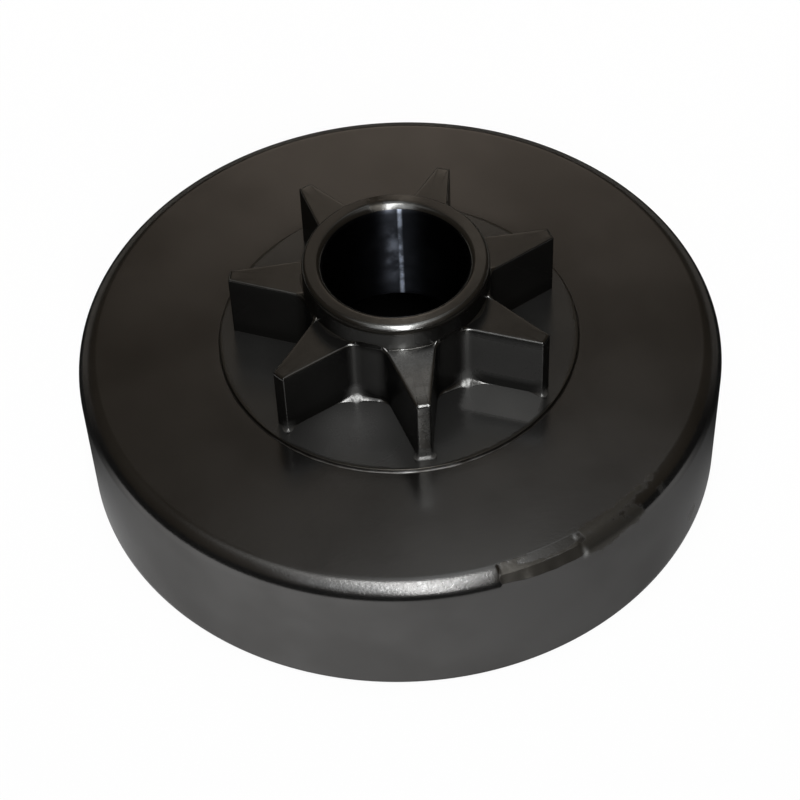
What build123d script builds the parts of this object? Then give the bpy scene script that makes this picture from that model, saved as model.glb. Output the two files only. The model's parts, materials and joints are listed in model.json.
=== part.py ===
from build123d import *

import os

# Chainsaw clutch drum with a spur sprocket: a steel cup, open below, and a toothed hub
# whose round flange is seated in the middle of the cup's face and brazed there.
# Millimetres, +Z up. The origin is on the axis, in the plane of the open rim, which the
# part stands on. One tooth points along -Y.

# Drum
DRUM_DIAMETER = 72.0
DRUM_HEIGHT = 16.2
SKIRT_WALL = 2.6
FACE_THICKNESS = 2.5
SHOULDER_RADIUS = 2.0
INNER_CORNER_RADIUS = 1.2
RIM_CHAMFER = 0.4
MOUTH_CHAMFER = 0.6

# Flange of the sprocket, which reaches past the tooth tips, and its seat in the drum's face
FLANGE_MARGIN = 1.55
FLANGE_PROUD = 0.4
FLANGE_EDGE_RADIUS = 0.15
SEAT_DEPTH = 1.2
SPIGOT_DIAMETER = 26.0
SEAT_CLEARANCE = 0.05

# Hub, with heights measured up from the drum's face
BORE_DIAMETER = 16.0
HUB_DIAMETER = 20.5
COLLAR_RELIEF = 0.05
COLLAR_HEIGHT = 11.7
COLLAR_EDGE_RADIUS = 0.7
BORE_TOP_CHAMFER = 0.4
BORE_END_CHAMFER = 0.6

# Teeth
TOOTH_COUNT = 7
FIRST_TOOTH_ANGLE = -90.0
TIP_DIAMETER = 36.9
TIP_WIDTH = 1.5
ROOT_WIDTH = 5.4
TOOTH_HEIGHT = 8.5
TIP_CORNER_RADIUS = 0.3
GULLET_CORNER_RADIUS = 1.0
FLOOR_FILLET = 0.7
FLANK_CHAMFER = 0.25
TIP_CHAMFER = 0.4

# Levels along the axis
INNER_FACE_Z = DRUM_HEIGHT - FACE_THICKNESS
LEDGE_Z = DRUM_HEIGHT - SEAT_DEPTH
FLANGE_TOP_Z = DRUM_HEIGHT + FLANGE_PROUD
TOOTH_TOP_Z = DRUM_HEIGHT + TOOTH_HEIGHT
COLLAR_TOP_Z = DRUM_HEIGHT + COLLAR_HEIGHT

# Radii
DRUM_RADIUS = DRUM_DIAMETER / 2
SKIRT_INNER_RADIUS = DRUM_RADIUS - SKIRT_WALL
SPIGOT_RADIUS = SPIGOT_DIAMETER / 2
BORE_RADIUS = BORE_DIAMETER / 2
HUB_RADIUS = HUB_DIAMETER / 2
COLLAR_RADIUS = HUB_RADIUS - COLLAR_RELIEF
TIP_RADIUS = TIP_DIAMETER / 2
FLANGE_RADIUS = TIP_RADIUS + FLANGE_MARGIN

# One tooth in plan, lying along +X: its flanks run straight from the hub to the corners of its tip
HALF_TIP = TIP_WIDTH / 2
TIP_CORNER_X = (TIP_RADIUS**2 - HALF_TIP**2) ** 0.5
FLANK_SLOPE = (ROOT_WIDTH / 2 - HALF_TIP) / (TIP_CORNER_X - HUB_RADIUS)
FLANK_OUTWARD = Vector(FLANK_SLOPE, 1, 0).normalized()


def turn(points, rounds, chamfers):
    """A solid of revolution about the axis, from the (radius, height) corners of its half section.

    Each round or chamfer pairs the corner that it breaks with its size.
    """
    section = make_face(Polyline(*points, close=True))
    for point, radius in rounds:
        section = fillet(section.vertices().sort_by_distance(point)[0], radius)
    for point, size in chamfers:
        section = chamfer(section.vertices().sort_by_distance(point)[0], size)
    return revolve(Plane.XZ * section, Axis.Z)


def at_each_tooth(shape):
    """A list with one copy of a shape for each tooth, turned from +X to where that tooth stands."""
    step = 360 / TOOTH_COUNT
    return [Rot(0, 0, FIRST_TOOTH_ANGLE + k * step) * shape for k in range(TOOTH_COUNT)]


def make_clutch_drum():
    """The cup: a skirt and a flat face, with a stepped hole that the sprocket's flange sits in."""
    seat_radius = FLANGE_RADIUS + SEAT_CLEARANCE
    hole_radius = SPIGOT_RADIUS + SEAT_CLEARANCE
    shoulder = (DRUM_RADIUS, DRUM_HEIGHT)
    inner_corner = (SKIRT_INNER_RADIUS, INNER_FACE_Z)
    rim = (DRUM_RADIUS, 0)
    mouth = (SKIRT_INNER_RADIUS, 0)
    points = [
        mouth,
        rim,
        shoulder,
        (seat_radius, DRUM_HEIGHT),
        (seat_radius, LEDGE_Z),
        (hole_radius, LEDGE_Z),
        (hole_radius, INNER_FACE_Z),
        inner_corner,
    ]
    rounds = [(shoulder, SHOULDER_RADIUS), (inner_corner, INNER_CORNER_RADIUS)]
    chamfers = [(rim, RIM_CHAMFER), (mouth, MOUTH_CHAMFER)]
    return turn(points, rounds, chamfers)


def make_flange():
    """The sprocket's flange and the spigot below it, bored through."""
    edge = (FLANGE_RADIUS, FLANGE_TOP_Z)
    bore_end = (BORE_RADIUS, INNER_FACE_Z)
    points = [
        bore_end,
        (SPIGOT_RADIUS, INNER_FACE_Z),
        (SPIGOT_RADIUS, LEDGE_Z),
        (FLANGE_RADIUS, LEDGE_Z),
        edge,
        (BORE_RADIUS, FLANGE_TOP_Z),
    ]
    return turn(points, [(edge, FLANGE_EDGE_RADIUS)], [(bore_end, BORE_END_CHAMFER)])


def make_collar():
    """The plain ring that stands above the teeth, with a rounded rim and a chamfered bore."""
    rim = (COLLAR_RADIUS, COLLAR_TOP_Z)
    bore_top = (BORE_RADIUS, COLLAR_TOP_Z)
    points = [(BORE_RADIUS, TOOTH_TOP_Z), (COLLAR_RADIUS, TOOTH_TOP_Z), rim, bore_top]
    return turn(points, [(rim, COLLAR_EDGE_RADIUS)], [(bore_top, BORE_TOP_CHAMFER)])


def star_outline():
    """The plan of hub and teeth, with rounded gullet corners and rounded tip corners."""
    half_base = HALF_TIP + FLANK_SLOPE * TIP_CORNER_X
    flanks = Polyline((TIP_CORNER_X, -HALF_TIP), (0, -half_base), (0, half_base), (TIP_CORNER_X, HALF_TIP))
    tip = ThreePointArc((TIP_CORNER_X, HALF_TIP), (TIP_RADIUS, 0), (TIP_CORNER_X, -HALF_TIP))
    star = Circle(HUB_RADIUS) + at_each_tooth(make_face(flanks + tip))
    mid_radius = (HUB_RADIUS + TIP_RADIUS) / 2
    gullet_corners = star.vertices().filter_by(lambda v: Vector(v).length < mid_radius)
    star = fillet(gullet_corners, GULLET_CORNER_RADIUS)
    tip_corners = star.vertices().filter_by(lambda v: Vector(v).length > mid_radius)
    return fillet(tip_corners, TIP_CORNER_RADIUS)


def edge_break(start, outward, length, size):
    """A prism that takes a 45 degree chamfer off a top edge, which runs to the right as seen from outside."""
    along = outward.rotate(Axis.Z, -90)
    plane = Plane(origin=start, x_dir=outward, z_dir=along)
    profile = make_face(Polyline((-size, 0), (size, -2 * size), (size, size), (-size, size), close=True))
    return extrude(plane * profile, length)


def tooth_edge_breaks():
    """The chamfers on each tooth's top edges: along the straight of both flanks, and across the tip."""
    along = FLANK_OUTWARD.rotate(Axis.Z, -90)
    tip_corner = Vector(TIP_CORNER_X, HALF_TIP, 0)
    flank_offset = tip_corner.dot(FLANK_OUTWARD)
    corner_reach = HUB_RADIUS + GULLET_CORNER_RADIUS
    flank_start = (corner_reach**2 - (flank_offset + GULLET_CORNER_RADIUS) ** 2) ** 0.5
    flank_length = tip_corner.dot(along) + TIP_WIDTH - flank_start
    top = Vector(0, 0, TOOTH_TOP_Z)
    flank = edge_break(
        FLANK_OUTWARD * flank_offset + along * flank_start + top, FLANK_OUTWARD, flank_length, FLANK_CHAMFER
    )
    tip = edge_break(Vector(TIP_RADIUS, TIP_WIDTH, 0) + top, Vector(1, 0, 0), 2 * TIP_WIDTH, TIP_CHAMFER)
    return at_each_tooth(flank) + at_each_tooth(mirror(flank, about=Plane.XZ)) + at_each_tooth(tip)


def make_spur_sprocket():
    """The toothed hub: a star of teeth on the flange, filleted all round its foot, and the collar above it."""
    plan = star_outline() - Circle(BORE_RADIUS)
    star = extrude(Pos(0, 0, FLANGE_TOP_Z) * plan, TOOTH_TOP_Z - FLANGE_TOP_Z) - tooth_edge_breaks()
    body = make_flange() + star
    flange_edge = Vector(FLANGE_RADIUS, 0, FLANGE_TOP_Z)
    floor = body.faces().filter_by(Axis.Z).sort_by_distance(flange_edge)[0]
    foot = floor.inner_wires()[0].edges()
    return body.fillet(FLOOR_FILLET, foot) + make_collar()


if __name__ == "__main__":
    os.makedirs("parts", exist_ok=True)
    export_step(make_clutch_drum(), "parts/clutch_drum.step")
    export_step(make_spur_sprocket(), "parts/spur_sprocket.step")
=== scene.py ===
"""Looks of a chainsaw clutch drum with a spur sprocket brazed into its face.

Sizes are millimetres, in the frame of the solids: +Z up, the axis at the origin, the open rim on the floor and
one tooth along -Y. Meshes are written in metres.
"""

import json
import logging
import math
from dataclasses import dataclass, field
from enum import Enum
from typing import Any, Union

import bpy
import numpy as np
from mathutils import Matrix, Vector


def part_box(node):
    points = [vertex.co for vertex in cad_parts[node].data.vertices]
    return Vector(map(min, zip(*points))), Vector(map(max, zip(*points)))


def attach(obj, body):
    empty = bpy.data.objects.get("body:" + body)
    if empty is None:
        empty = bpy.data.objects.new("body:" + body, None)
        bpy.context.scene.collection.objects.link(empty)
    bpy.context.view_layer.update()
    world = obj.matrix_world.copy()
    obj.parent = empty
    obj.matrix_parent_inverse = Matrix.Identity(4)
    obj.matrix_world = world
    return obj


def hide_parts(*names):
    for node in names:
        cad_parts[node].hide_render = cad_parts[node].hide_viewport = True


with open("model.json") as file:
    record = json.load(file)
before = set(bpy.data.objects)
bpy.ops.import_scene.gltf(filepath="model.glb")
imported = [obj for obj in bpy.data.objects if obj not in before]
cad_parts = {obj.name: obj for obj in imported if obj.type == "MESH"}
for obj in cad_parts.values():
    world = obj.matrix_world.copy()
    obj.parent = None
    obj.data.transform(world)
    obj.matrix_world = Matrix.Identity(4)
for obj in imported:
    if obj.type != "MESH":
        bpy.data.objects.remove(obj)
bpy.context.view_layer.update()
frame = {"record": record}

LOG = logging.getLogger("sprocket")

METRES = 0.001
BODY = "root"
FAR_SIDE = (0.131, 0.991, 0.0)
RIGHT_SIDE = (0.991, -0.131, 0.0)
DRUM_NODE = "clutch_drum"
SPROCKET_NODE = "spur_sprocket"

Colour = tuple[float, float, float]
Link = Union["Field", bpy.types.NodeSocket]


def smoothstep(low: float, high: float, value: np.ndarray) -> np.ndarray:
    """An S-shaped rise from 0 at low to 1 at high: 3 t^2 - 2 t^3 of the clamped share t."""
    share = np.clip((value - low) / (high - low), 0.0, 1.0)
    return share * share * (3.0 - 2.0 * share)


def ripple(angle: np.ndarray, waves: tuple[float, ...], phase: float) -> np.ndarray:
    """An uneven wave along an arc, from -1 to 1: the mean of sines whose counts per turn don't share a period.

    Args:
        angle: places along the arc, in radians.
        waves: waves per turn of each sine.
        phase: shifts every sine by its own amount, so that two ripples differ.

    Returns:
        The height of the wave at each place.
    """
    counts = np.array(waves)
    shifts = phase * np.sqrt(np.arange(1, len(waves) + 1))
    return np.sin(angle[..., None] * counts + shifts).mean(axis=-1)


class Field:
    """A value socket of a node tree. Arithmetic on it adds Math nodes."""

    def __init__(self, graph: "Graph", socket: bpy.types.NodeSocket) -> None:
        """Wraps one output socket."""
        self.graph = graph
        self.socket = socket

    def maths(self, operation: str, *values: Any) -> "Field":
        """Adds one Math node.

        Args:
            operation: the Math node's operation.
            values: its inputs, in order, as fields or numbers.

        Returns:
            The node's result.
        """
        node = self.graph.node("ShaderNodeMath", {"operation": operation}, dict(enumerate(values)))
        return Field(self.graph, node.outputs[0])

    def __add__(self, other: Any) -> "Field":
        """self + other."""
        return self.maths("ADD", self, other)

    def __radd__(self, other: Any) -> "Field":
        """other + self."""
        return self.maths("ADD", other, self)

    def __sub__(self, other: Any) -> "Field":
        """self - other."""
        return self.maths("SUBTRACT", self, other)

    def __rsub__(self, other: Any) -> "Field":
        """other - self."""
        return self.maths("SUBTRACT", other, self)

    def __mul__(self, other: Any) -> "Field":
        """self * other."""
        return self.maths("MULTIPLY", self, other)

    def __rmul__(self, other: Any) -> "Field":
        """other * self."""
        return self.maths("MULTIPLY", other, self)

    def larger(self, other: Any) -> "Field":
        """The larger of self and other."""
        return self.maths("MAXIMUM", self, other)

    def rise(self, low: float, high: float) -> "Field":
        """An S-shaped rise from 0 where self is low to 1 where it is high."""
        settings = {"interpolation_type": "SMOOTHSTEP"}
        inputs = {"Value": self, "From Min": low, "From Max": high}
        return Field(self.graph, self.graph.node("ShaderNodeMapRange", settings, inputs).outputs[0])


class Graph:
    """The node tree of one material or world."""

    def __init__(self, tree: bpy.types.NodeTree) -> None:
        """Empties the tree."""
        self.tree = tree
        tree.nodes.clear()

    def node(self, kind: str, settings: dict[str, Any], inputs: dict[Any, Any]) -> bpy.types.Node:
        """Adds a node.

        Args:
            kind: the node's type.
            settings: its properties, which are set first.
            inputs: a value or a link for each named or numbered socket.

        Returns:
            The new node.
        """
        made = self.tree.nodes.new(kind)
        for name, value in settings.items():
            setattr(made, name, value)
        for key, value in inputs.items():
            if isinstance(value, Field):
                value = value.socket
            if isinstance(value, bpy.types.NodeSocket):
                self.tree.links.new(value, made.inputs[key])
            else:
                made.inputs[key].default_value = value
        return made

    def millimetres(self, stretch: tuple[float, float, float] = (1.0, 1.0, 1.0)) -> bpy.types.NodeSocket:
        """The piece's own coordinates in millimetres, multiplied by a stretch along each axis."""
        place = self.node("ShaderNodeTexCoord", {}, {}).outputs["Object"]
        scale = tuple(share / METRES for share in stretch)
        return self.node("ShaderNodeMapping", {}, {"Vector": place, "Scale": scale}).outputs[0]

    def noise(self, place: bpy.types.NodeSocket, size: float, detail: float = 2.0) -> Field:
        """Soft noise from 0 to 1, with lumps of about the given size in millimetres."""
        inputs = {"Vector": place, "Scale": 1.0 / size, "Detail": detail}
        return Field(self, self.node("ShaderNodeTexNoise", {}, inputs).outputs[0])

    def mark(self, name: str) -> Field:
        """A value that the mesh carries at its points."""
        node = self.node("ShaderNodeAttribute", {"attribute_name": name}, {})
        return Field(self, node.outputs["Fac"])

    def along(self, place: bpy.types.NodeSocket, direction: tuple[float, float, float]) -> Field:
        """How far a place lies in a direction: the dot product of the two."""
        node = self.node("ShaderNodeVectorMath", {"operation": "DOT_PRODUCT"}, {0: place, 1: direction})
        return Field(self, node.outputs["Value"])

    def blend(self, first: Any, second: Any, share: Field) -> bpy.types.NodeSocket:
        """A colour from first, where share is 0, to second, where it is 1."""
        inputs = {0: share, 6: first, 7: second}
        return self.node("ShaderNodeMix", {"data_type": "RGBA"}, inputs).outputs[2]

    def relief(self, height: Field, depth: float) -> bpy.types.NodeSocket:
        """The normal of a surface whose height of 1 stands that many millimetres out."""
        inputs = {"Strength": 1.0, "Distance": depth * METRES, "Height": height}
        return self.node("ShaderNodeBump", {}, inputs).outputs[0]


def opaque(colour: Colour) -> tuple[float, float, float, float]:
    """A colour with full alpha."""
    return (*colour, 1.0)


class Mark(str, Enum):
    """What a mesh carries at its points for its finish to read."""

    WEAR_AND_HIGHLIGHT = "wear_and_highlight"
    SCUFF_AND_SHADE = "scuff_and_shade"
    FORMED_AND_LIT = "formed_and_lit"


@dataclass(frozen=True)
class BlackOxide:
    """Satin black oxide on steel: grain, cloudy sheen, bare metal where it has rubbed off and dull scuffs.

    The bare metal is also laid on as painted highlights and glints, and the colour of scuffs as painted shade where
    a glint or a light line would show. Where the steel is as it came from forming, not turned, the oxide is rougher,
    and thinner by the given share; the same mark also puts this rougher, less metallic oxide where light falls, as
    painted light.
    """

    name: str
    thin_and_lit_share: float = 0.0
    dark: Colour = (0.088, 0.086, 0.084)
    light: Colour = (0.108, 0.106, 0.104)
    # Bare metal, also used for painted highlights and glints; the next colour is for scuffs and for painted shade.
    bare: Colour = (0.40, 0.40, 0.39)
    scuff_and_shade_colour: Colour = (0.042, 0.039, 0.034)
    metal: float = 0.96
    grazing: Colour = (0.5, 0.5, 0.5)
    gloss: float = 0.19
    formed_gloss: float = 0.11
    formed_grain: float = 3.0
    speck_size: float = 0.42
    speck_share: float = 0.0
    cloud_size: float = 14.0
    grain_size: float = 0.22
    grain_depth: float = 0.004
    patch_size: float = 0.9
    scuff_matt: float = 0.0

    def material(self) -> bpy.types.Material:
        """Builds the finish.

        Returns:
            The material.
        """
        made = bpy.data.materials.new(self.name)
        made.use_nodes = True
        graph = Graph(made.node_tree)
        place = graph.millimetres()
        cloud = graph.noise(place, self.cloud_size, 4.0)
        grain = graph.noise(place, self.grain_size, 3.0)
        patch = graph.noise(place, self.patch_size, 5.0)
        # Bare metal where the oxide has rubbed off, and also painted highlights and glints.
        wear_and_highlight = graph.mark(Mark.WEAR_AND_HIGHLIGHT.value) * (0.75 + (patch - 0.5) * 1.2)
        # Dull scuffs, and also painted shade laid where a glint or a light line would show.
        scuff_and_shade = (graph.mark(Mark.SCUFF_AND_SHADE.value) + (patch - 0.5) * 0.9).rise(0.36, 0.74)
        # Rougher oxide on unturned steel, and painted light where less metallic oxide is put where the light falls.
        formed_and_lit = graph.mark(Mark.FORMED_AND_LIT.value)
        speck = graph.noise(place, self.speck_size, 2.0)
        speckled = formed_and_lit.rise(0.6, 1.0) * self.speck_share
        coat = graph.blend(opaque(self.dark), opaque(self.light), cloud.rise(0.35, 0.65))
        coat = graph.blend(coat, opaque(self.bare), speck.rise(0.50, 0.74) * speckled)
        coat = graph.blend(coat, opaque(self.scuff_and_shade_colour), (1.0 - speck.rise(0.28, 0.46)) * speckled)
        dulled = graph.blend(coat, opaque(self.scuff_and_shade_colour), scuff_and_shade)
        colour = graph.blend(dulled, opaque(self.bare), wear_and_highlight)
        roughness = self.gloss + (cloud - 0.5) * 0.06 + (grain - 0.5) * 0.06
        roughness = roughness + formed_and_lit * self.formed_gloss + scuff_and_shade * 0.14 + wear_and_highlight * 0.10
        shader = graph.node(
            "ShaderNodeBsdfPrincipled",
            {},
            {
                "Base Color": colour,
                "Roughness": roughness,
                "Metallic": self.metal - formed_and_lit * self.thin_and_lit_share - scuff_and_shade * self.scuff_matt,
                "Specular Tint": opaque(self.grazing),
                "Normal": graph.relief(grain * (1.0 + formed_and_lit * self.formed_grain) + scuff_and_shade * patch * 4.0, self.grain_depth),
            },
        )
        graph.node("ShaderNodeOutputMaterial", {}, {"Surface": shader.outputs[0]})
        return made


@dataclass(frozen=True)
class HonedBore:
    """A bearing bore: dark, finely scored round the axis, so that a light draws one upright streak down it. That
    streak is also painted into its colour as a painted highlight at a fixed bearing, with a fainter painted patch
    beside it and a faint painted halo round it.
    """

    name: str
    dark: Colour = (0.020, 0.021, 0.025)
    # The colour of the painted highlight streak, of the painted patch beside it and of the painted halo.
    light: Colour = (0.64, 0.71, 0.86)
    metal: float = 0.99
    grazing: Colour = (0.3, 0.3, 0.3)
    gloss: float = 0.34
    streak: float = 0.95
    across_scores: float = 0.25
    score_size: float = 0.10
    score_depth: float = 0.006
    blot_size: float = 2.0
    painted_streak_at: float = 78.4
    painted_streak_half: float = 1.6
    painted_streak_blot: float = 1.3
    painted_streak_ends: float = 0.45
    painted_beside_share: float = 0.17
    painted_glow_share: float = 0.035
    middle: float = 21.0

    def material(self) -> bpy.types.Material:
        """Builds the finish.

        Returns:
            The material.
        """
        made = bpy.data.materials.new(self.name)
        made.use_nodes = True
        graph = Graph(made.node_tree)
        place = graph.millimetres()
        scores = graph.noise(graph.millimetres((0.02, 0.02, 1.0)), self.score_size, 2.0)
        blots = graph.noise(place, self.blot_size, 4.0)
        fine = graph.noise(place, self.painted_streak_blot, 3.0)
        bearing = graph.along(place, (0.0, 1.0, 0.0))
        bearing = bearing.maths("ARCTAN2", bearing, graph.along(place, (1.0, 0.0, 0.0))) - math.radians(self.painted_streak_at)
        apart = bearing.maths("ABSOLUTE", bearing)
        height = graph.along(place, (0.0, 0.0, 1.0)) - self.middle
        ends = height.maths("ABSOLUTE", height)
        # Painted highlight: the streak's colour at a fixed bearing, blotchy and lighter towards its ends.
        painted_streak_share = 1.0 - apart.rise(math.radians(self.painted_streak_half) * 0.3, math.radians(self.painted_streak_half) * 1.6)
        painted_streak_share = painted_streak_share * (0.22 + fine.rise(0.40, 0.60) * 0.66 + ends.rise(3.0, 5.5) * self.painted_streak_ends)
        # Painted highlight: a fainter blotchy patch beside the streak, and a faint painted halo round it.
        beside = bearing.rise(0.0, 0.04) * (1.0 - bearing.rise(0.06, 0.28)) * blots.rise(0.38, 0.66)
        beside = beside * (1.0 - ends.rise(2.0, 5.5)) * self.painted_beside_share
        painted_glow = (1.0 - apart.rise(0.10, 0.45)) * self.painted_glow_share
        share = painted_streak_share.larger(beside) + painted_glow
        colour = graph.blend(opaque(self.dark), opaque(self.light), share)
        shader = graph.node(
            "ShaderNodeBsdfPrincipled",
            {},
            {
                "Base Color": colour,
                "Roughness": self.gloss + (blots - 0.5) * 0.22,
                "Metallic": self.metal,
                "Specular Tint": opaque(self.grazing),
                "Anisotropic": self.streak,
                "Anisotropic Rotation": self.across_scores,
                "Normal": graph.relief(scores, self.score_depth),
            },
        )
        graph.node("ShaderNodeOutputMaterial", {}, {"Surface": shader.outputs[0]})
        return made


@dataclass(frozen=True)
class BrazeFlow:
    """The narrow run of braze round the flange: smooth, a little brighter than the oxide, and blotchy. Where its
    mark is, it takes a lighter colour as a painted highlight.
    """

    name: str
    dark: Colour = (0.028, 0.025, 0.022)
    painted_highlight: Colour = (0.170, 0.168, 0.165)
    metal: float = 0.96
    gloss: float = 0.42
    blot_size: float = 1.6

    def material(self) -> bpy.types.Material:
        """Builds the finish.

        Returns:
            The material.
        """
        made = bpy.data.materials.new(self.name)
        made.use_nodes = True
        graph = Graph(made.node_tree)
        blots = graph.noise(graph.millimetres(), self.blot_size, 4.0)
        share = graph.mark(Mark.WEAR_AND_HIGHLIGHT.value) * blots.rise(0.30, 0.70)
        shader = graph.node(
            "ShaderNodeBsdfPrincipled",
            {},
            {
                "Base Color": graph.blend(opaque(self.dark), opaque(self.painted_highlight), share),
                "Metallic": self.metal,
                "Roughness": self.gloss + (blots - 0.5) * 0.15,
                "Normal": graph.relief(blots, 0.02),
            },
        )
        graph.node("ShaderNodeOutputMaterial", {}, {"Surface": shader.outputs[0]})
        return made


@dataclass(frozen=True)
class PaleFloor:
    """Matt white card. Seen directly, part of it is plain white, so a shadow on it stays soft. In a reflection it is
    plain white light, with a painted shadow that dims it towards the far side and painted shade towards the right.
    """

    name: str
    colour: Colour = (0.95, 0.95, 0.95)
    tooth_size: float = 0.6
    white_share: float = 0.93
    painted_far_shadow: float = 0.95
    painted_right_shade: float = 0.36

    def material(self) -> bpy.types.Material:
        """Builds the finish.

        Returns:
            The material.
        """
        made = bpy.data.materials.new(self.name)
        made.use_nodes = True
        graph = Graph(made.node_tree)
        place = graph.millimetres()
        tooth = graph.noise(place, self.tooth_size)
        shader = graph.node(
            "ShaderNodeBsdfPrincipled",
            {},
            {
                "Base Color": opaque(self.colour),
                "Roughness": 0.85 + (tooth - 0.5) * 0.1,
                "Specular IOR Level": 0.1,
            },
        )
        # Painted shadow and shade: the floor as seen in reflections is dimmed towards the far side and to the right.
        far = graph.along(place, FAR_SIDE).rise(-22.0, 0.0)
        right = graph.along(place, RIGHT_SIDE).rise(-20.0, 25.0)
        level = (1.0 - far * self.painted_far_shadow) * (1.0 - right * self.painted_right_shade)
        white = graph.node("ShaderNodeEmission", {}, {"Strength": 1.0})
        black = graph.node("ShaderNodeEmission", {}, {"Strength": 0.0})
        reflected_with_painted_shade = graph.node("ShaderNodeMixShader", {}, {0: level, 1: black.outputs[0], 2: white.outputs[0]})
        path = graph.node("ShaderNodeLightPath", {}, {})
        seen = Field(graph, path.outputs["Is Camera Ray"]).larger(Field(graph, path.outputs["Is Transmission Ray"]))
        inputs = {0: seen * self.white_share, 1: shader.outputs[0], 2: white.outputs[0]}
        mixed = graph.node("ShaderNodeMixShader", {}, inputs)
        inputs = {0: path.outputs["Is Glossy Ray"], 1: mixed.outputs[0], 2: reflected_with_painted_shade.outputs[0]}
        mixed = graph.node("ShaderNodeMixShader", {}, inputs)
        graph.node("ShaderNodeOutputMaterial", {}, {"Surface": mixed.outputs[0]})
        return made


@dataclass
class Skin:
    """A closed surface on a grid: rings of points, each ring closed, and the last ring joined to the first."""

    points: np.ndarray
    marks: dict[Mark, np.ndarray]
    finish: np.ndarray

    def normals(self) -> np.ndarray:
        """The mean normal at each point, where every face counts by its area.

        A face's area vector is half the cross product of its diagonals, and a point sums those of its four faces.

        Returns:
            Unit vectors, rings by columns by 3.
        """
        p = self.points
        ahead = np.roll(p, -1, axis=0)
        across = np.roll(p, -1, axis=1)
        opposite = np.roll(ahead, -1, axis=1)
        faces = 0.5 * np.cross(opposite - p, ahead - across)
        total = faces + np.roll(faces, 1, axis=0)
        total = total + np.roll(total, 1, axis=1)
        length = np.linalg.norm(total, axis=2, keepdims=True)
        return total / np.maximum(length, 1e-12)

    def quads(self) -> np.ndarray:
        """The corners of each face, one row a face: this point, the next ring's, its neighbour's, and the neighbour."""
        rings, columns = self.points.shape[:2]
        index = np.arange(rings * columns).reshape(rings, columns)
        ahead = np.roll(index, -1, axis=0)
        return np.stack(
            [index, np.roll(index, -1, axis=1), np.roll(ahead, -1, axis=1), ahead], axis=2
        ).reshape(-1, 4)

    def volume(self) -> float:
        """The volume that the surface encloses, which is negative if its faces point inwards."""
        flat = self.points.reshape(-1, 3)
        a, b, c, d = (flat[corner] for corner in self.quads().T)
        tetrahedra = np.cross(a, b) * c
        tetrahedra = tetrahedra + np.cross(a, c) * d
        return float(tetrahedra.sum() / 6.0)

    def to_piece(self, name: str, finishes: list[bpy.types.Material]) -> bpy.types.Object:
        """Makes the piece.

        Args:
            name: the piece's name.
            finishes: the materials that the skin's finish numbers choose from.

        Returns:
            The object, at the origin, with its place in its mesh.
        """
        quads = self.quads()
        normals = self.normals()
        if self.volume() < 0.0:
            quads = quads[:, ::-1]
            normals = -normals
        mesh = bpy.data.meshes.new(name)
        mesh.from_pydata(self.points.reshape(-1, 3) * METRES, [], quads, shade_flat=False)
        for material in finishes:
            mesh.materials.append(material)
        rings, columns = self.points.shape[:2]
        mesh.polygons.foreach_set("material_index", np.repeat(self.finish, columns).astype(np.int32))
        for mark, values in self.marks.items():
            attribute = mesh.attributes.new(mark.value, "FLOAT", "POINT")
            attribute.data.foreach_set("value", values.astype(np.float32).ravel())
        mesh.normals_split_custom_set_from_vertices(normals.reshape(-1, 3))
        mesh.update()
        piece = bpy.data.objects.new(name, mesh)
        bpy.context.scene.collection.objects.link(piece)
        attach(piece, BODY)
        LOG.info("%s: %d rings of %d points, %.0f cubic mm", name, rings, columns, abs(self.volume()))
        return piece


def line(start: tuple[float, float], end: tuple[float, float], count: int) -> np.ndarray:
    """Points of a straight run, without its end: start plus equal shares of the way to end."""
    share = np.arange(count)[:, None] / count
    return np.array(start) + share * (np.array(end) - np.array(start))


def arc(centre: tuple[float, float], radius: float, start: float, end: float, count: int) -> np.ndarray:
    """Points of a round run, without its end: centre plus radius along angles in equal steps, in degrees."""
    angle = np.radians(start + (end - start) * np.arange(count) / count)
    return np.array(centre) + radius * np.stack([np.cos(angle), np.sin(angle)], axis=1)


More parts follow.
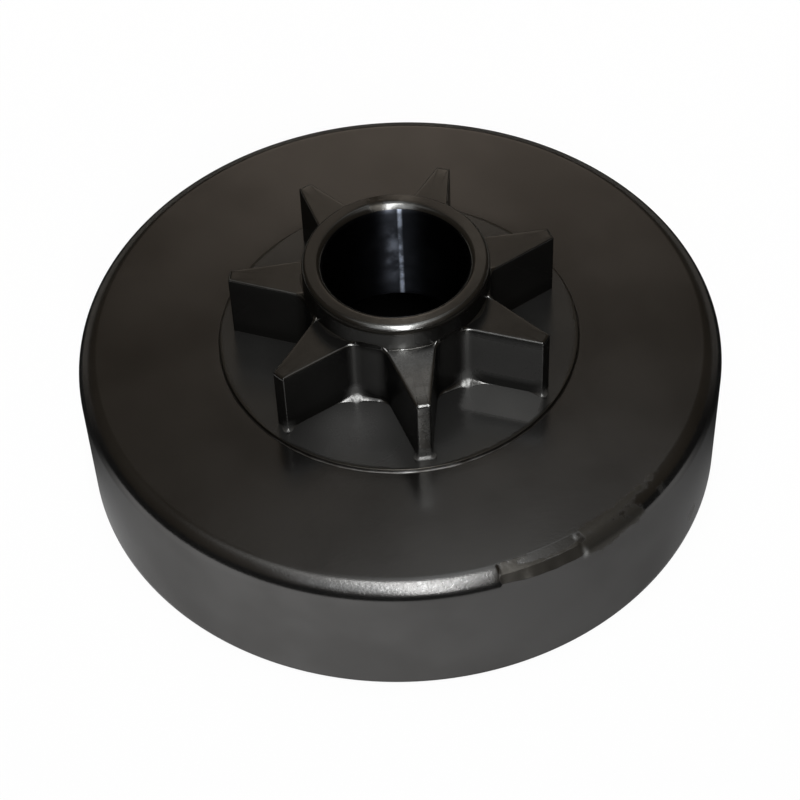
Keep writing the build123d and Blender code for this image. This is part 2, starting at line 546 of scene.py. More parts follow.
@dataclass
class ClutchDrum:
    """The drawn steel cup, open below, with a stepped hole in its face that the sprocket sits in."""

    radius: float
    height: float
    inner_radius: float
    face_thickness: float = 2.5
    shoulder: float = 2.2
    inner_corner: float = 1.2
    rim_chamfer: float = 0.4
    mouth_chamfer: float = 0.6
    seat_radius: float = 20.05
    seat_depth: float = 1.2
    hole_radius: float = 13.05
    edge: float = 0.12
    scuff_start: float = -82.0
    scuff_end: float = -30.0
    burr_drop: float = 1.15
    burr_in: float = 0.85
    burr_rise: float = 0.28
    burr_stops: tuple[float, float] = (30.0, 55.0)
    chip_angle: float = -35.5
    chip_height: float = 3.4
    chip_size: float = 1.0
    lip_angle: float = -66.2
    lip_height: float = 0.10
    dull_patches: tuple[tuple[float, float, float], ...] = (
        (-62.0, 5.0, 1.3),
        (-54.5, 2.6, 0.7),
        (-47.5, 2.2, 0.45),
    )
    finish: BlackOxide = field(
        default_factory=lambda: BlackOxide(
            "drum_black_oxide", formed_gloss=0.085, speck_share=0.15, scuff_matt=0.34
        )
    )

    def section(self) -> np.ndarray:
        """The closed half section, as radius and height: outer wall, shoulder, face, seat, inside, mouth and rim."""
        r, h, s, e = self.radius, self.height, self.shoulder, self.edge
        ledge = h - self.seat_depth
        ceiling = h - self.face_thickness
        seat, hole, inner = self.seat_radius, self.hole_radius, self.inner_radius
        chamfer, mouth, corner = self.rim_chamfer, self.mouth_chamfer, self.inner_corner
        beside = np.add.outer(self.burr_stops, [-0.4, 0.0, 0.4]).ravel()
        tilt = np.radians(np.sort(np.concatenate([np.linspace(0.0, 90.0, 40, endpoint=False), beside])))
        return np.concatenate(
            [
                line((r - chamfer, 0.0), (r, chamfer), 2),
                line((r, chamfer), (r, h - s), 27),
                np.array([r - s, h - s]) + s * np.stack([np.cos(tilt), np.sin(tilt)], axis=1),
                line((r - s, h), (r - s - 1.0, h), 8),
                line((r - s - 1.0, h), (seat + e, h), 10),
                arc((seat + e, h - e), e, 90.0, 180.0, 3),
                line((seat, h - e), (seat, ledge), 2),
                line((seat, ledge), (hole, ledge), 2),
                line((hole, ledge), (hole, ceiling + e), 2),
                arc((hole + e, ceiling + e), e, 180.0, 270.0, 3),
                line((hole + e, ceiling), (inner - corner, ceiling), 6),
                arc((inner - corner, ceiling - corner), corner, 90.0, 0.0, 8),
                line((inner, ceiling - corner), (inner, mouth), 6),
                line((inner, mouth), (inner + mouth, 0.0), 2),
                line((inner + mouth, 0.0), (r - chamfer, 0.0), 2),
            ]
        )

    def columns(self) -> np.ndarray:
        """Angles round the axis in radians, close together where the shoulder is worn and dulled."""
        start, end = self.scuff_start - 3.0, self.scuff_end + 3.0
        close = np.linspace(start, end, 330, endpoint=False)
        wide = np.linspace(end, start + 360.0, 400, endpoint=False)
        return np.radians(np.concatenate([close, wide]))

    def scuff_and_shade(self, section: np.ndarray, angle: np.ndarray) -> tuple[np.ndarray, np.ndarray]:
        """Squares the worn stretch of the shoulder.

        In place of the round there are an upright flat, a bevel and a nearly level flat, whose corners waver. The
        stretch ends in a small lip. Further along, the round only has dull patches. The dull share also holds painted
        shade: on the bevel all along the worn stretch, at the start of its bevel and level flat, and on the face's edge
        beyond the lip.

        Args:
            section: the half section, rings by 2.
            angle: the columns' angles in radians.

        Returns:
            The section of every column, rings by columns by 2, and the share of dull patches and painted shade, rings
            by columns.
        """
        degrees = np.degrees(angle)
        along = smoothstep(self.scuff_start, self.scuff_start + 0.8, degrees)
        swell = smoothstep(self.scuff_start + 0.4, self.scuff_start + 7.0, degrees)
        along = along * (1.0 - smoothstep(self.lip_angle - 1.0, self.lip_angle, degrees))
        ragged = ripple(angle, (43.0, 67.0, 113.0), 1.3)
        other = ripple(angle, (37.0, 89.0, 131.0), 3.7)
        centre = np.array([self.radius - self.shoulder, self.height - self.shoulder])
        tilt_of = np.degrees(np.arctan2(section[:, 1] - centre[1], section[:, 0] - centre[0]))
        on_round = (section[:, 1] >= centre[1]) & (section[:, 0] >= centre[0])
        wall_end = self.height - self.burr_drop + 0.09 * ragged
        bevel_radius = self.radius - self.burr_in + 0.015 * other
        bevel_end = self.height - self.burr_rise + np.zeros_like(angle)
        stops = np.array([0.0, *self.burr_stops, 90.0])
        cut = centre[:, None] + self.shoulder * np.stack([np.cos(np.radians(stops)), np.sin(np.radians(stops))])
        same = np.ones_like(angle)
        radii = np.stack([self.radius * same, self.radius * same, bevel_radius, centre[0] * same])
        heights = np.stack([centre[1] * same, wall_end, bevel_end, self.height * same])
        radii = cut[0][:, None] + (radii - cut[0][:, None]) * swell
        heights = cut[1][:, None] + (heights - cut[1][:, None]) * swell
        step = np.clip(np.searchsorted(stops, tilt_of, side="right") - 1, 0, len(stops) - 2)
        share = np.clip((tilt_of - stops[step]) / (stops[step + 1] - stops[step]), 0.0, 1.0)[:, None]
        squared = np.stack(
            [values[step] * (1.0 - share) + values[step + 1] * share for values in (radii, heights)], axis=2
        )
        round_off = section[:, None, :]
        worn = round_off + (squared - round_off) * (along[None] * on_round[:, None])[..., None]
        lip = np.exp(-(((degrees - self.lip_angle) / 0.45) ** 2)) * self.lip_height
        bulge = np.exp(-(((tilt_of - 30.0) / 16.0) ** 2)) * on_round
        outward = np.stack([np.cos(np.radians(tilt_of)), np.sin(np.radians(tilt_of))], axis=1)
        worn = worn + (bulge[:, None] * lip[None])[..., None] * outward[:, None]
        patches = sum(
            strength * np.exp(-(((degrees - middle) / spread) ** 2)) for middle, spread, strength in self.dull_patches
        )
        band = np.exp(-(((tilt_of - 38.0) / 34.0) ** 2)) * on_round
        arc_apart = np.radians(degrees - self.chip_angle) * self.radius
        outside = section[:, 0] > self.radius - 0.01
        chip_apart = np.hypot(arc_apart[None], section[:, 1:] - self.chip_height)
        chip = 1.5 * np.exp(-((chip_apart / self.chip_size) ** 2)) * outside[:, None]
        # Painted shade: the bevel at the start of the worn stretch is dulled where it would catch a glint.
        start = np.exp(-(((degrees - self.scuff_start - 0.6) / 0.5) ** 2))
        on_bevel = np.exp(-(((tilt_of - 44.0) / 11.0) ** 2)) * on_round
        fray = np.exp(-(((tilt_of - 60.0) / 7.0) ** 2)) * on_round
        # Painted shade: the face's edge beyond the lip is dulled where it would show a light line.
        inside = np.exp(-(((tilt_of - 86.0) / 16.0) ** 2)) * (section[:, 1] >= centre[1])
        beyond = smoothstep(self.lip_angle, self.lip_angle + 1.5, degrees) * (1.0 - smoothstep(-52.0, -40.0, degrees))
        dull = band[:, None] * patches[None] + 1.1 * on_bevel[:, None] * start[None] + chip
        # Painted shade: the level flat at the start of the worn stretch is dulled.
        fresh = along * (1.0 - smoothstep(self.scuff_start + 3.0, self.scuff_start + 10.0, degrees))
        on_flat = smoothstep(50.0, 56.0, tilt_of) * on_round
        dull = dull + 0.6 * fray[:, None] * along[None] + 0.75 * inside[:, None] * beyond[None]
        dull = dull + 0.6 * on_flat[:, None] * fresh[None]
        # The bevel all along the worn stretch is dulled, as scuffing and as painted shade.
        low = smoothstep(28.0, 32.0, tilt_of) * (1.0 - smoothstep(50.0, 56.0, tilt_of)) * on_round
        dull = dull + 0.9 * low[:, None] * along[None]
        return worn, dull

    def skin(self) -> Skin:
        """The section turned round the axis, with its worn stretch."""
        section = self.section()
        angle = self.columns()
        worn, dull = self.scuff_and_shade(section, angle)
        tilt = np.degrees(np.arctan2(section[:, 1] - self.height + self.shoulder, section[:, 0] - self.radius + self.shoulder))
        radius, height = worn[..., 0], worn[..., 1]
        points = np.stack([radius * np.cos(angle), radius * np.sin(angle), height], axis=2)
        crown = smoothstep(22.0, 44.0, tilt) * (1.0 - smoothstep(70.0, 88.0, tilt))
        degrees = np.degrees(angle)
        burr = smoothstep(self.scuff_start - 1.0, self.scuff_start, degrees) * (degrees < self.lip_angle)
        rubbed = 0.7 * (degrees >= self.lip_angle) * (1.0 - smoothstep(self.scuff_end, self.scuff_end + 6.0, degrees))
        whole = 1.0 - burr - rubbed
        turned = (degrees + 270.0) % 360.0 - 270.0
        pebbly = smoothstep(-130.0, -104.0, turned) * (turned < self.scuff_end)
        formed_and_lit = crown[:, None] * (whole * (0.6 + 0.4 * pebbly))[None]
        on_lip = np.exp(-(((tilt - 26.0) / 13.0) ** 2)) * (section[:, 0] > self.inner_radius)
        wear_and_highlight = 0.8 * on_lip[:, None] * np.exp(-(((degrees - self.lip_angle) / 0.5) ** 2))[None]
        marks = {Mark.WEAR_AND_HIGHLIGHT: wear_and_highlight, Mark.SCUFF_AND_SHADE: dull, Mark.FORMED_AND_LIT: formed_and_lit}
        return Skin(points, marks, np.zeros(len(section), int))

    def build(self) -> bpy.types.Object:
        """Builds and dresses the drum.

        Returns:
            The piece that stands for the drum's solid.
        """
        piece = self.skin().to_piece("drum_cup", [self.finish.material()])
        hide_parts(DRUM_NODE)
        return piece


@dataclass
class StarPlan:
    """The plan of hub and teeth at evenly numbered points: places, outward normals and shares of each form."""

    places: np.ndarray
    normals: np.ndarray
    tip: np.ndarray
    gullet: np.ndarray
    corner: np.ndarray
    tooth: np.ndarray


@dataclass
class SpurSprocket:
    """The toothed hub: a flange with seven teeth round a bored collar, and a spigot below."""

    flange_radius: float
    bottom: float
    top: float
    face: float
    bore_radius: float
    flange_proud: float = 0.36
    flange_edge: float = 0.08
    seat_depth: float = 1.2
    spigot_radius: float = 13.0
    hub_radius: float = 10.25
    collar_radius: float = 10.2
    collar_edge: float = 0.7
    collar_edge_sway: float = 0.25
    bore_round: float = 0.7
    bore_round_far: float = 1.15
    bore_far: float = 92.0
    bore_far_half: float = 32.0
    bore_end_chamfer: float = 0.6
    teeth: int = 7
    first_tooth: float = -90.0
    tip_radius: float = 18.45
    half_tip: float = 0.75
    half_root: float = 2.7
    tooth_height: float = 8.5
    tip_round: float = 0.2
    gullet_round: float = 1.8
    floor_fillet: float = 0.5
    flank_fillet: float = 0.03
    corner_fillet: float = 1.25
    corner_spread: float = 1.2
    tip_fillet: float = 0.55
    tip_spread: float = 0.7
    flank_break: float = 0.2
    tip_break: float = 0.4
    edge: float = 0.12
    near_tooth_rub: float = 0.24
    # Painted light on the top of the tooth nearest -Y.
    near_tooth_lighter: float = 0.62
    # Bare metal on the collar's rim towards -Y and on its far side: rub and painted highlight.
    collar_near_rub_and_highlight: float = 0.44
    collar_right_rub: float = 0.10
    collar_far_rub_and_highlight: float = 0.30
    # Painted shade on the far side of the collar's rim.
    collar_far_painted_shade: float = 0.75
    # Painted glint in the open gullet corners.
    corner_rub_and_glint: float = 0.2
    formed_far: float = 0.06
    # Walls facing this way get painted light.
    painted_light_facing: float = -108.0
    corner_facing: float = -92.0
    # Where the painted shade along the collar's foot leaves off, at the glint.
    root_glint_gap: float = -95.0
    # Painted glint: a bare spot on the top of the tooth nearest -Y, at its root.
    glint_dot: tuple[float, float] = (-0.93, -10.55)
    glint_dot_size: float = 0.45
    glint_dot_rub: float = 0.9
    # A spot of floor with painted light.
    painted_light_spot: tuple[float, float] = (-6.8, -12.6)
    painted_light_spot_size: float = 3.6
    # Painted shade: over this height the painted light fades out towards the foot of the walls.
    foot_dark: float = 1.9
    # Painted light: the strip of floor along the lit flank of the second tooth.
    strip_facing: float = -115.2
    strip_bearing: float = -112.0
    strip_width: float = 4.3
    finish: BlackOxide = field(
        default_factory=lambda: BlackOxide(
            "sprocket_black_oxide", thin_and_lit_share=0.54, dark=(0.065, 0.064, 0.062), light=(0.080, 0.079, 0.076)
        )
    )
    bore_finish: HonedBore = field(default_factory=lambda: HonedBore("honed_bore"))

    def plan(self) -> StarPlan:
        """The star's outline, from half a tooth that is mirrored and repeated.

        A half tooth along +X is an arc of the tip circle, a tip round, a straight flank, a gullet round and an arc
        of the hub circle. The rounds are tangent to the flank and to their circles, so each centre lies where a line
        parallel to the flank crosses a circle about the axis.

        Returns:
            The plan.
        """
        corner_x = math.sqrt(self.tip_radius**2 - self.half_tip**2)
        slope = (self.half_root - self.half_tip) / (corner_x - self.hub_radius)
        lean = math.atan2(1.0, slope)
        facing = np.array([math.cos(lean), math.sin(lean)])
        along = np.array([facing[1], -facing[0]])
        offset = float(facing @ np.array([corner_x, self.half_tip]))

        def centre(gap: float, reach: float) -> np.ndarray:
            """The point that lies gap outside the flank's line and reach from the axis."""
            return facing * (offset + gap) + along * math.sqrt(reach**2 - (offset + gap) ** 2)

        tip_centre = centre(-self.tip_round, self.tip_radius - self.tip_round)
        gullet_centre = centre(self.gullet_round, self.hub_radius + self.gullet_round)
        tip_angle = math.atan2(tip_centre[1], tip_centre[0])
        gullet_angle = math.atan2(gullet_centre[1], gullet_centre[0])
        half_pitch = math.pi / self.teeth

        def facings(start: float, end: float, count: int) -> np.ndarray:
            """Unit vectors at equal steps from start to end, without the end, in radians."""
            angle = start + (end - start) * np.arange(count) / count
            return np.stack([np.cos(angle), np.sin(angle)], axis=1)

        tip = facings(0.0, tip_angle, 4)
        tip_corner = facings(tip_angle, lean, 5)
        flank = line(tip_centre + self.tip_round * facing, gullet_centre - self.gullet_round * facing, 16)
        gullet_corner = facings(lean, gullet_angle, 15)
        root = facings(gullet_angle, half_pitch, 9)
        places = np.concatenate(
            [
                self.tip_radius * tip,
                tip_centre + self.tip_round * tip_corner,
                flank,
                gullet_centre - self.gullet_round * gullet_corner,
                self.hub_radius * root,
            ]
        )
        normals = np.concatenate([tip, tip_corner, np.tile(facing, (len(flank), 1)), gullet_corner, root])
        counts = [len(tip), len(tip_corner), len(flank), len(gullet_corner), len(root)]
        fade = np.arange(len(gullet_corner)) / len(gullet_corner)
        gullet = np.concatenate([np.zeros(sum(counts[:3])), fade, np.ones(counts[4])])
        corner = np.concatenate([np.zeros(sum(counts[:3])), np.sin(math.pi * fade), np.zeros(counts[4])])
        tip_share = np.concatenate([np.ones(counts[0]), np.linspace(1.0, 0.0, counts[1]), np.zeros(sum(counts[2:]))])
        middle = np.array([math.cos(half_pitch), math.sin(half_pitch)])
        flip = np.array([1.0, -1.0])
        places = np.concatenate([places, [self.hub_radius * middle], (places * flip)[:0:-1]])
        normals = np.concatenate([normals, [middle], (normals * flip)[:0:-1]])
        gullet = np.concatenate([gullet, [1.0], gullet[:0:-1]])
        corner = np.concatenate([corner, [0.0], corner[:0:-1]])
        tip_share = np.concatenate([tip_share, [0.0], tip_share[:0:-1]])
        return self.repeat(places, normals, np.stack([tip_share, gullet, corner]), counts)

    def repeat(self, places: np.ndarray, normals: np.ndarray, shares: np.ndarray, counts: list[int]) -> StarPlan:
        """Turns one pitch of the outline to every tooth.

        Args:
            places: points from one tooth's middle to the next gullet, and back along the next tooth's side.
            normals: their outward normals.
            shares: their shares of tip, gullet and gullet corner, one row each.
            counts: points in each run of the half tooth.

        Returns:
            The whole outline.
        """
        half = sum(counts) + 1
        pitch = 2.0 * math.pi / self.teeth
        turn_back = np.where(np.arange(len(places)) < half, 0.0, pitch)
        start = math.radians(self.first_tooth) + pitch * np.arange(self.teeth)
        angle = (start[:, None] + turn_back).ravel()
        turned = np.stack([np.cos(angle), np.sin(angle)], axis=1)

        def turn(vectors: np.ndarray) -> np.ndarray:
            """Vectors repeated for each tooth and turned by its angle."""
            many = np.tile(vectors, (self.teeth, 1))
            x = many[:, 0] * turned[:, 0] - many[:, 1] * turned[:, 1]
            y = many[:, 0] * turned[:, 1] + many[:, 1] * turned[:, 0]
            return np.stack([x, y], axis=1)

        number = np.arange(self.teeth)[:, None] + (turn_back > 0.0)
        return StarPlan(
            turn(places),
            turn(normals),
            *np.tile(shares, self.teeth),
            (number % self.teeth).ravel(),
        )

    def skin(self) -> Skin:
        """The closed section carried round the axis: circles at the bore, collar and flange, stars at the teeth.

        A circle ring puts its radius along each plan point's direction. A star ring moves each plan point out along
        its normal. Between the collar and the teeth, and between the teeth and the flange, rings go straight from
        one to the other.

        Returns:
            The skin, with the bore's faces in the second finish.
        """
        plan = self.plan()
        reach = np.linalg.norm(plan.places, axis=1, keepdims=True)
        around = plan.places / reach
        floor = self.face + self.flange_proud
        crest = self.face + self.tooth_height
        ledge = self.face - self.seat_depth
        flat = np.ones(len(around))

        def circle(run: np.ndarray) -> np.ndarray:
            """Rings of a run of radius and height."""
            ring = run[:, None, :1] * around[None]
            height = np.broadcast_to(run[:, None, 1:], (len(run), len(around), 1))
            return np.concatenate([ring, height], axis=2)

        def star(out: np.ndarray, height: np.ndarray) -> np.ndarray:
            """Rings of the plan moved out by each ring's offset, at each ring's height, both rings by columns."""
            ring = plan.places[None] + out[:, :, None] * plan.normals[None]
            return np.concatenate([ring, height[:, :, None]], axis=2)

        def between(first: np.ndarray, last: np.ndarray, count: int, crowd: float = 1.0) -> np.ndarray:
            """Rings from the first to just before the last, closer together at the first if crowd is above 1."""
            share = ((np.arange(count) / count) ** crowd)[:, None, None]
            return first[None] * (1.0 - share) + last[None] * share

        def turned(radius: np.ndarray, height: np.ndarray) -> np.ndarray:
            """Rings whose radius and height differ from column to column, both rings by columns."""
            return np.concatenate([radius[..., None] * around[None], height[..., None]], axis=2)

        bore, top, edge, rim = self.bore_radius, self.top, self.edge, self.collar_radius
        end_chamfer = self.bore_end_chamfer
        bearing = np.arctan2(around[:, 1], around[:, 0])
        far = np.exp(-(((np.degrees(bearing) - self.bore_far) / self.bore_far_half) ** 2))
        inner = self.bore_round + (self.bore_round_far - self.bore_round) * far
        outer = self.collar_edge - self.collar_edge_sway * (1.0 + np.sin(bearing))
        bore_end = line((bore + end_chamfer, self.bottom), (bore, self.bottom + end_chamfer), 2)
        bore_start = circle(np.array([[bore, self.bottom + end_chamfer]]))[0]
        bend = np.radians(np.linspace(180.0, 90.0, 11))[:, None]
        lip = turned(bore + inner * (1.0 + np.cos(bend)), top - inner * (1.0 - np.sin(bend)))
        bend = np.radians(np.linspace(90.0, 0.0, 14))[:, None]
        collar_round = turned(rim - outer * (1.0 - np.cos(bend)), top - outer * (1.0 - np.sin(bend)))
        ring = between(lip[-1], collar_round[0], 3)
        collar_top = np.concatenate([lip[4:-1], ring, collar_round[:9]])

        cut = (self.flank_break + (self.tip_break - self.flank_break) * plan.tip) * (1.0 - plan.gullet)
        cut = np.maximum(cut, 0.01)
        foot_height = crest + 0.6 * plan.gullet
        collar_foot = np.concatenate([rim * around, foot_height[:, None]], axis=1)
        collar_head = collar_round[-1]
        crest_ring = star(-cut[None], (crest * flat)[None])[0]
        bend = np.radians(np.linspace(0.0, 90.0, 7))[:, None]
        edges = star(-cut * (1.0 - np.sin(bend)), crest - cut * (1.0 - np.cos(bend)))
        fillet = self.flank_fillet + (self.floor_fillet - self.flank_fillet) * plan.gullet
        open_corner, open_tip = self.open_feet(plan)
        fillet = fillet + (self.corner_fillet - fillet) * open_corner
        fillet = fillet + (self.tip_fillet - fillet) * open_tip
        sweep = np.radians(np.linspace(0.0, 90.0, 13))[:, None]
        foot = star(fillet * (1.0 - np.cos(sweep)), floor + fillet * (1.0 - np.sin(sweep)))
        wall = between(edges[-1], foot[0], 8)[1:]
        flange_start = circle(np.array([[self.flange_radius - self.flange_edge, floor]]))[0]
        flange = np.concatenate(
            [
                arc(
                    (self.flange_radius - self.flange_edge, floor - self.flange_edge), self.flange_edge, 90.0, 0.0, 5
                ),
                line((self.flange_radius, floor - self.flange_edge), (self.flange_radius, ledge), 3),
                line((self.flange_radius, ledge), (self.spigot_radius, ledge), 2),
                line((self.spigot_radius, ledge), (self.spigot_radius, self.bottom + edge), 2),
                arc((self.spigot_radius - edge, self.bottom + edge), edge, 0.0, -90.0, 3),
                line((self.spigot_radius - edge, self.bottom), (bore + end_chamfer, self.bottom), 3),
            ]
        )
        groups = [
            ("bore", circle(bore_end)),
            ("bore", between(bore_start, lip[0], 24)),
            ("bore", lip[:4]),
            ("collar", collar_top),
            ("collar_turn", collar_round[9:]),
            ("collar_wall", between(collar_foot, collar_head, 9, 1.7)[:0:-1]),
            ("top", between(collar_foot, crest_ring, 10, 1.7)),
            ("edge", edges),
            ("wall", wall),
            ("foot", foot[:-1]),
            ("floor", between(foot[-1], flange_start, 16)),
            ("flange", circle(flange)),
        ]
        names = np.repeat([name for name, _ in groups], [len(rings) for _, rings in groups])
        points = np.concatenate([rings for _, rings in groups])
        wear_and_highlight = self.wear_and_highlight(names, plan)
        # Painted glint: a bare spot on the top of the tooth nearest -Y, at its root.
        from_glint_dot = np.linalg.norm(points[..., :2] - np.array(self.glint_dot), axis=2)
        wear_and_highlight = wear_and_highlight + (names == "top")[:, None] * self.glint_dot_rub * np.exp(-((from_glint_dot / self.glint_dot_size) ** 2))
        # Painted shade: the tip wall of the tooth nearest -Y, the root corners on the left, the collar's outer turn,
        # the far side of its rim, a ring along the collar's foot except at the glint, and the whole flange are dulled.
        near_tip_shade = 0.5 * plan.tip * (plan.tooth == 0)
        left_root_shade = (plan.corner + plan.gullet) * (np.degrees(bearing) < -136.0)
        root_glint_gap = np.exp(-(((np.degrees(bearing) - self.root_glint_gap) / 1.6) ** 2))
        first_top = np.flatnonzero(names == "top")[0]
        at_root = np.isin(names, ["top", "edge", "collar_wall"])[:, None]
        dull = (names == "collar_turn")[:, None] + (names == "wall")[:, None] * near_tip_shade[None] + at_root * left_root_shade
        far_painted_shade = self.collar_far_painted_shade * np.exp(-(((np.degrees(bearing) - 95.0) / 8.0) ** 2))
        dull = dull + (names == "collar")[:, None] * far_painted_shade[None]
        dull[first_top - 1:first_top + 2] += 1.4 * (1.0 - root_glint_gap)
        dull = dull + (names == "flange")[:, None]
        marks = {Mark.WEAR_AND_HIGHLIGHT: wear_and_highlight, Mark.SCUFF_AND_SHADE: dull, Mark.FORMED_AND_LIT: self.formed_and_lit(names, points, plan)}
        return Skin(points, marks, (names == "bore").astype(int))

    def formed_and_lit(self, names: np.ndarray, points: np.ndarray, plan: StarPlan) -> np.ndarray:
        """Painted light: where the oxide is made rougher and less metallic, so that the lamps light it, on the side
        nearest
        -Y.

        The walls that face one way, towards the lights, have most of it, fading out near their foot as painted shade,
        and so does a strip of floor along the foot of such a wall. A spot of floor, the open fillets at the teeth's
        feet, the collar's wall on that side and the top of the tooth nearest -Y have it too.

        Args:
            names: what part of the sprocket each ring belongs to.
            points: the skin's points.
            plan: the teeth's outline.

        Returns:
            A share from 0 to 1, rings by columns.
        """
        bearing = np.degrees(np.arctan2(points[..., 1], points[..., 0]))
        near = smoothstep(-146.0, -128.0, bearing) * (1.0 - smoothstep(-36.0, -26.0, bearing))
        facing = np.degrees(np.arctan2(plan.normals[:, 1], plan.normals[:, 0]))
        # Painted light: walls turned towards this facing get the lighter oxide.
        lit = 1.0 - smoothstep(14.0, 40.0, np.abs(facing - self.painted_light_facing))
        round_lit = 1.0 - smoothstep(14.0, 40.0, np.abs(bearing - self.painted_light_facing))
        left = 1.0 - smoothstep(-98.0, -84.0, bearing)
        # Painted light: a spot of floor.
        painted_glow = np.exp(-(np.linalg.norm(points[..., :2] - np.array(self.painted_light_spot), axis=2) / self.painted_light_spot_size) ** 2)
        strip = self.strip(points, plan)
        wall = self.formed_far + (1.0 - self.formed_far) * near * lit * (1.0 - 0.85 * plan.tip) * (1.0 - 0.5 * left)
        above = points[..., 2] - self.face - self.flange_proud
        # Painted shade: the lighter oxide fades out towards the foot of the walls.
        wall = wall * (0.9 * smoothstep(self.foot_dark * 0.5, self.foot_dark, above) + 0.02)
        floor = 0.2 + near * (0.02 + 0.20 * left + 0.55 * painted_glow)
        floor = floor + (1.0 - floor) * strip
        from_collar = np.linalg.norm(points[..., :2], axis=2) - self.collar_radius
        # Painted light: the top of the tooth nearest -Y.
        crest = np.where(plan.tooth == 0, self.near_tooth_lighter, 0.0) * (1.0 - plan.gullet)
        crest = crest * smoothstep(0.2, 1.0, from_collar)
        open_corner, open_tip = self.open_feet(plan)
        foot = np.maximum(wall, 0.8 * np.maximum(open_corner**2, open_tip))
        on_wall = (names == "wall")[:, None]
        on_foot = (names == "foot")[:, None]
        on_collar = (names == "collar_wall")[:, None]
        on_floor = (names == "floor")[:, None]
        on_crest = (names == "top")[:, None]
        below = wall * on_wall + foot * on_foot + floor * on_floor
        return below + 0.6 * round_lit * on_collar + crest * on_crest

    def open_feet(self, plan: StarPlan) -> tuple[np.ndarray, np.ndarray]:
        """Where the fillet at the foot of the teeth is open: in gullet corners and at tips that face one way.

        Each share falls off as a bell curve with the distance in plan from the nearest point that faces that way.

        Args:
            plan: the teeth's outline.

        Returns:
            The shares of open corner and of open tip, one value a column.
        """
        facing = np.degrees(np.arctan2(plan.normals[:, 1], plan.normals[:, 0]))
        chosen = np.abs(facing - self.corner_facing) < 9.0
        shares = []
        for share, spread in ((plan.corner, self.corner_spread), (plan.tip, self.tip_spread)):
            centres = plan.places[chosen & (share > 0.0)]
            apart = np.linalg.norm(plan.places[:, None] - centres[None], axis=2).min(axis=1)
            shares.append(np.exp(-((apart / spread) ** 2)))
        return shares[0], shares[1]

    def strip(self, points: np.ndarray, plan: StarPlan) -> np.ndarray:
        """The strip of floor along the foot of the lit flank of the second tooth: a painted pool of light.

        A floor point is the flank's start plus a share of the flank plus a distance along one bearing. The share
        and the distance come from the two cross products with the other direction.

        Args:
            points: the skin's points.
            plan: the teeth's outline.

        Returns:
            A share from 0 to 1, rings by columns.
        """
        facing = np.degrees(np.arctan2(plan.normals[:, 1], plan.normals[:, 0]))
        flank = plan.places[(plan.tooth == 1) & (np.abs(facing - self.strip_facing) < 2.0)]
        reach = np.linalg.norm(flank, axis=1)
        start, end = flank[reach.argmin()], flank[reach.argmax()]
        bearing = math.radians(self.strip_bearing)
        out = np.array([math.cos(bearing), math.sin(bearing)])
        run = end - start
        offset = points[..., :2] - start
        across = run[0] * out[1] - run[1] * out[0]
        share = (offset[..., 0] * out[1] - offset[..., 1] * out[0]) / across
        distance = (run[0] * offset[..., 1] - run[1] * offset[..., 0]) / across
        ends = smoothstep(-0.12, -0.04, share) * (1.0 - smoothstep(1.0, 1.08, share))
        return ends * smoothstep(-0.4, 0.0, distance) * (1.0 - smoothstep(0.9, 1.1, distance / self.strip_width))

    def wear_and_highlight(self, names: np.ndarray, plan: StarPlan) -> np.ndarray:
        """Where the oxide has rubbed off: tooth edges and tips, and the top of the tooth nearest -Y. The bare metal on
        the collar's rim towards -Y and on its far side is rub and painted highlight, and in open gullet corners it is a
        painted glint.

        Args:
            names: what part of the sprocket each ring belongs to.
            plan: the teeth's outline.

        Returns:
            A share from 0 to 1, rings by columns.
        """
        sides = 1.0 - plan.gullet
        top = np.where(plan.tooth == 0, self.near_tooth_rub, 0.05) * sides
        bearing = np.degrees(np.arctan2(plan.places[:, 1], plan.places[:, 0]))
        # Rub and painted highlight on the collar's rim towards -Y and on its far side.
        rim = self.collar_near_rub_and_highlight * np.exp(-(((bearing + 90.0) / 24.0) ** 2))
        rim = rim + self.collar_right_rub * np.exp(-((bearing / 45.0) ** 2))
        rim = rim + self.collar_far_rub_and_highlight * np.exp(-(((bearing - 76.0) / 9.0) ** 2))
        open_corner, _ = self.open_feet(plan)
        shares = {"edge": 0.12 * sides, "top": top, "wall": 0.05 * plan.tip, "collar": rim}
        # Painted glint in the open gullet corners.
        shares["foot"] = self.corner_rub_and_glint * open_corner**8
        nothing = np.zeros(len(plan.tip))
        return np.stack([shares.get(name, nothing) for name in names])

    def build(self) -> bpy.types.Object:
        """Builds and dresses the sprocket.

        Returns:
            The piece that stands for the sprocket's solid.
        """
        piece = self.skin().to_piece("sprocket_hub", [self.finish.material(), self.bore_finish.material()])
        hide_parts(SPROCKET_NODE)
        return piece


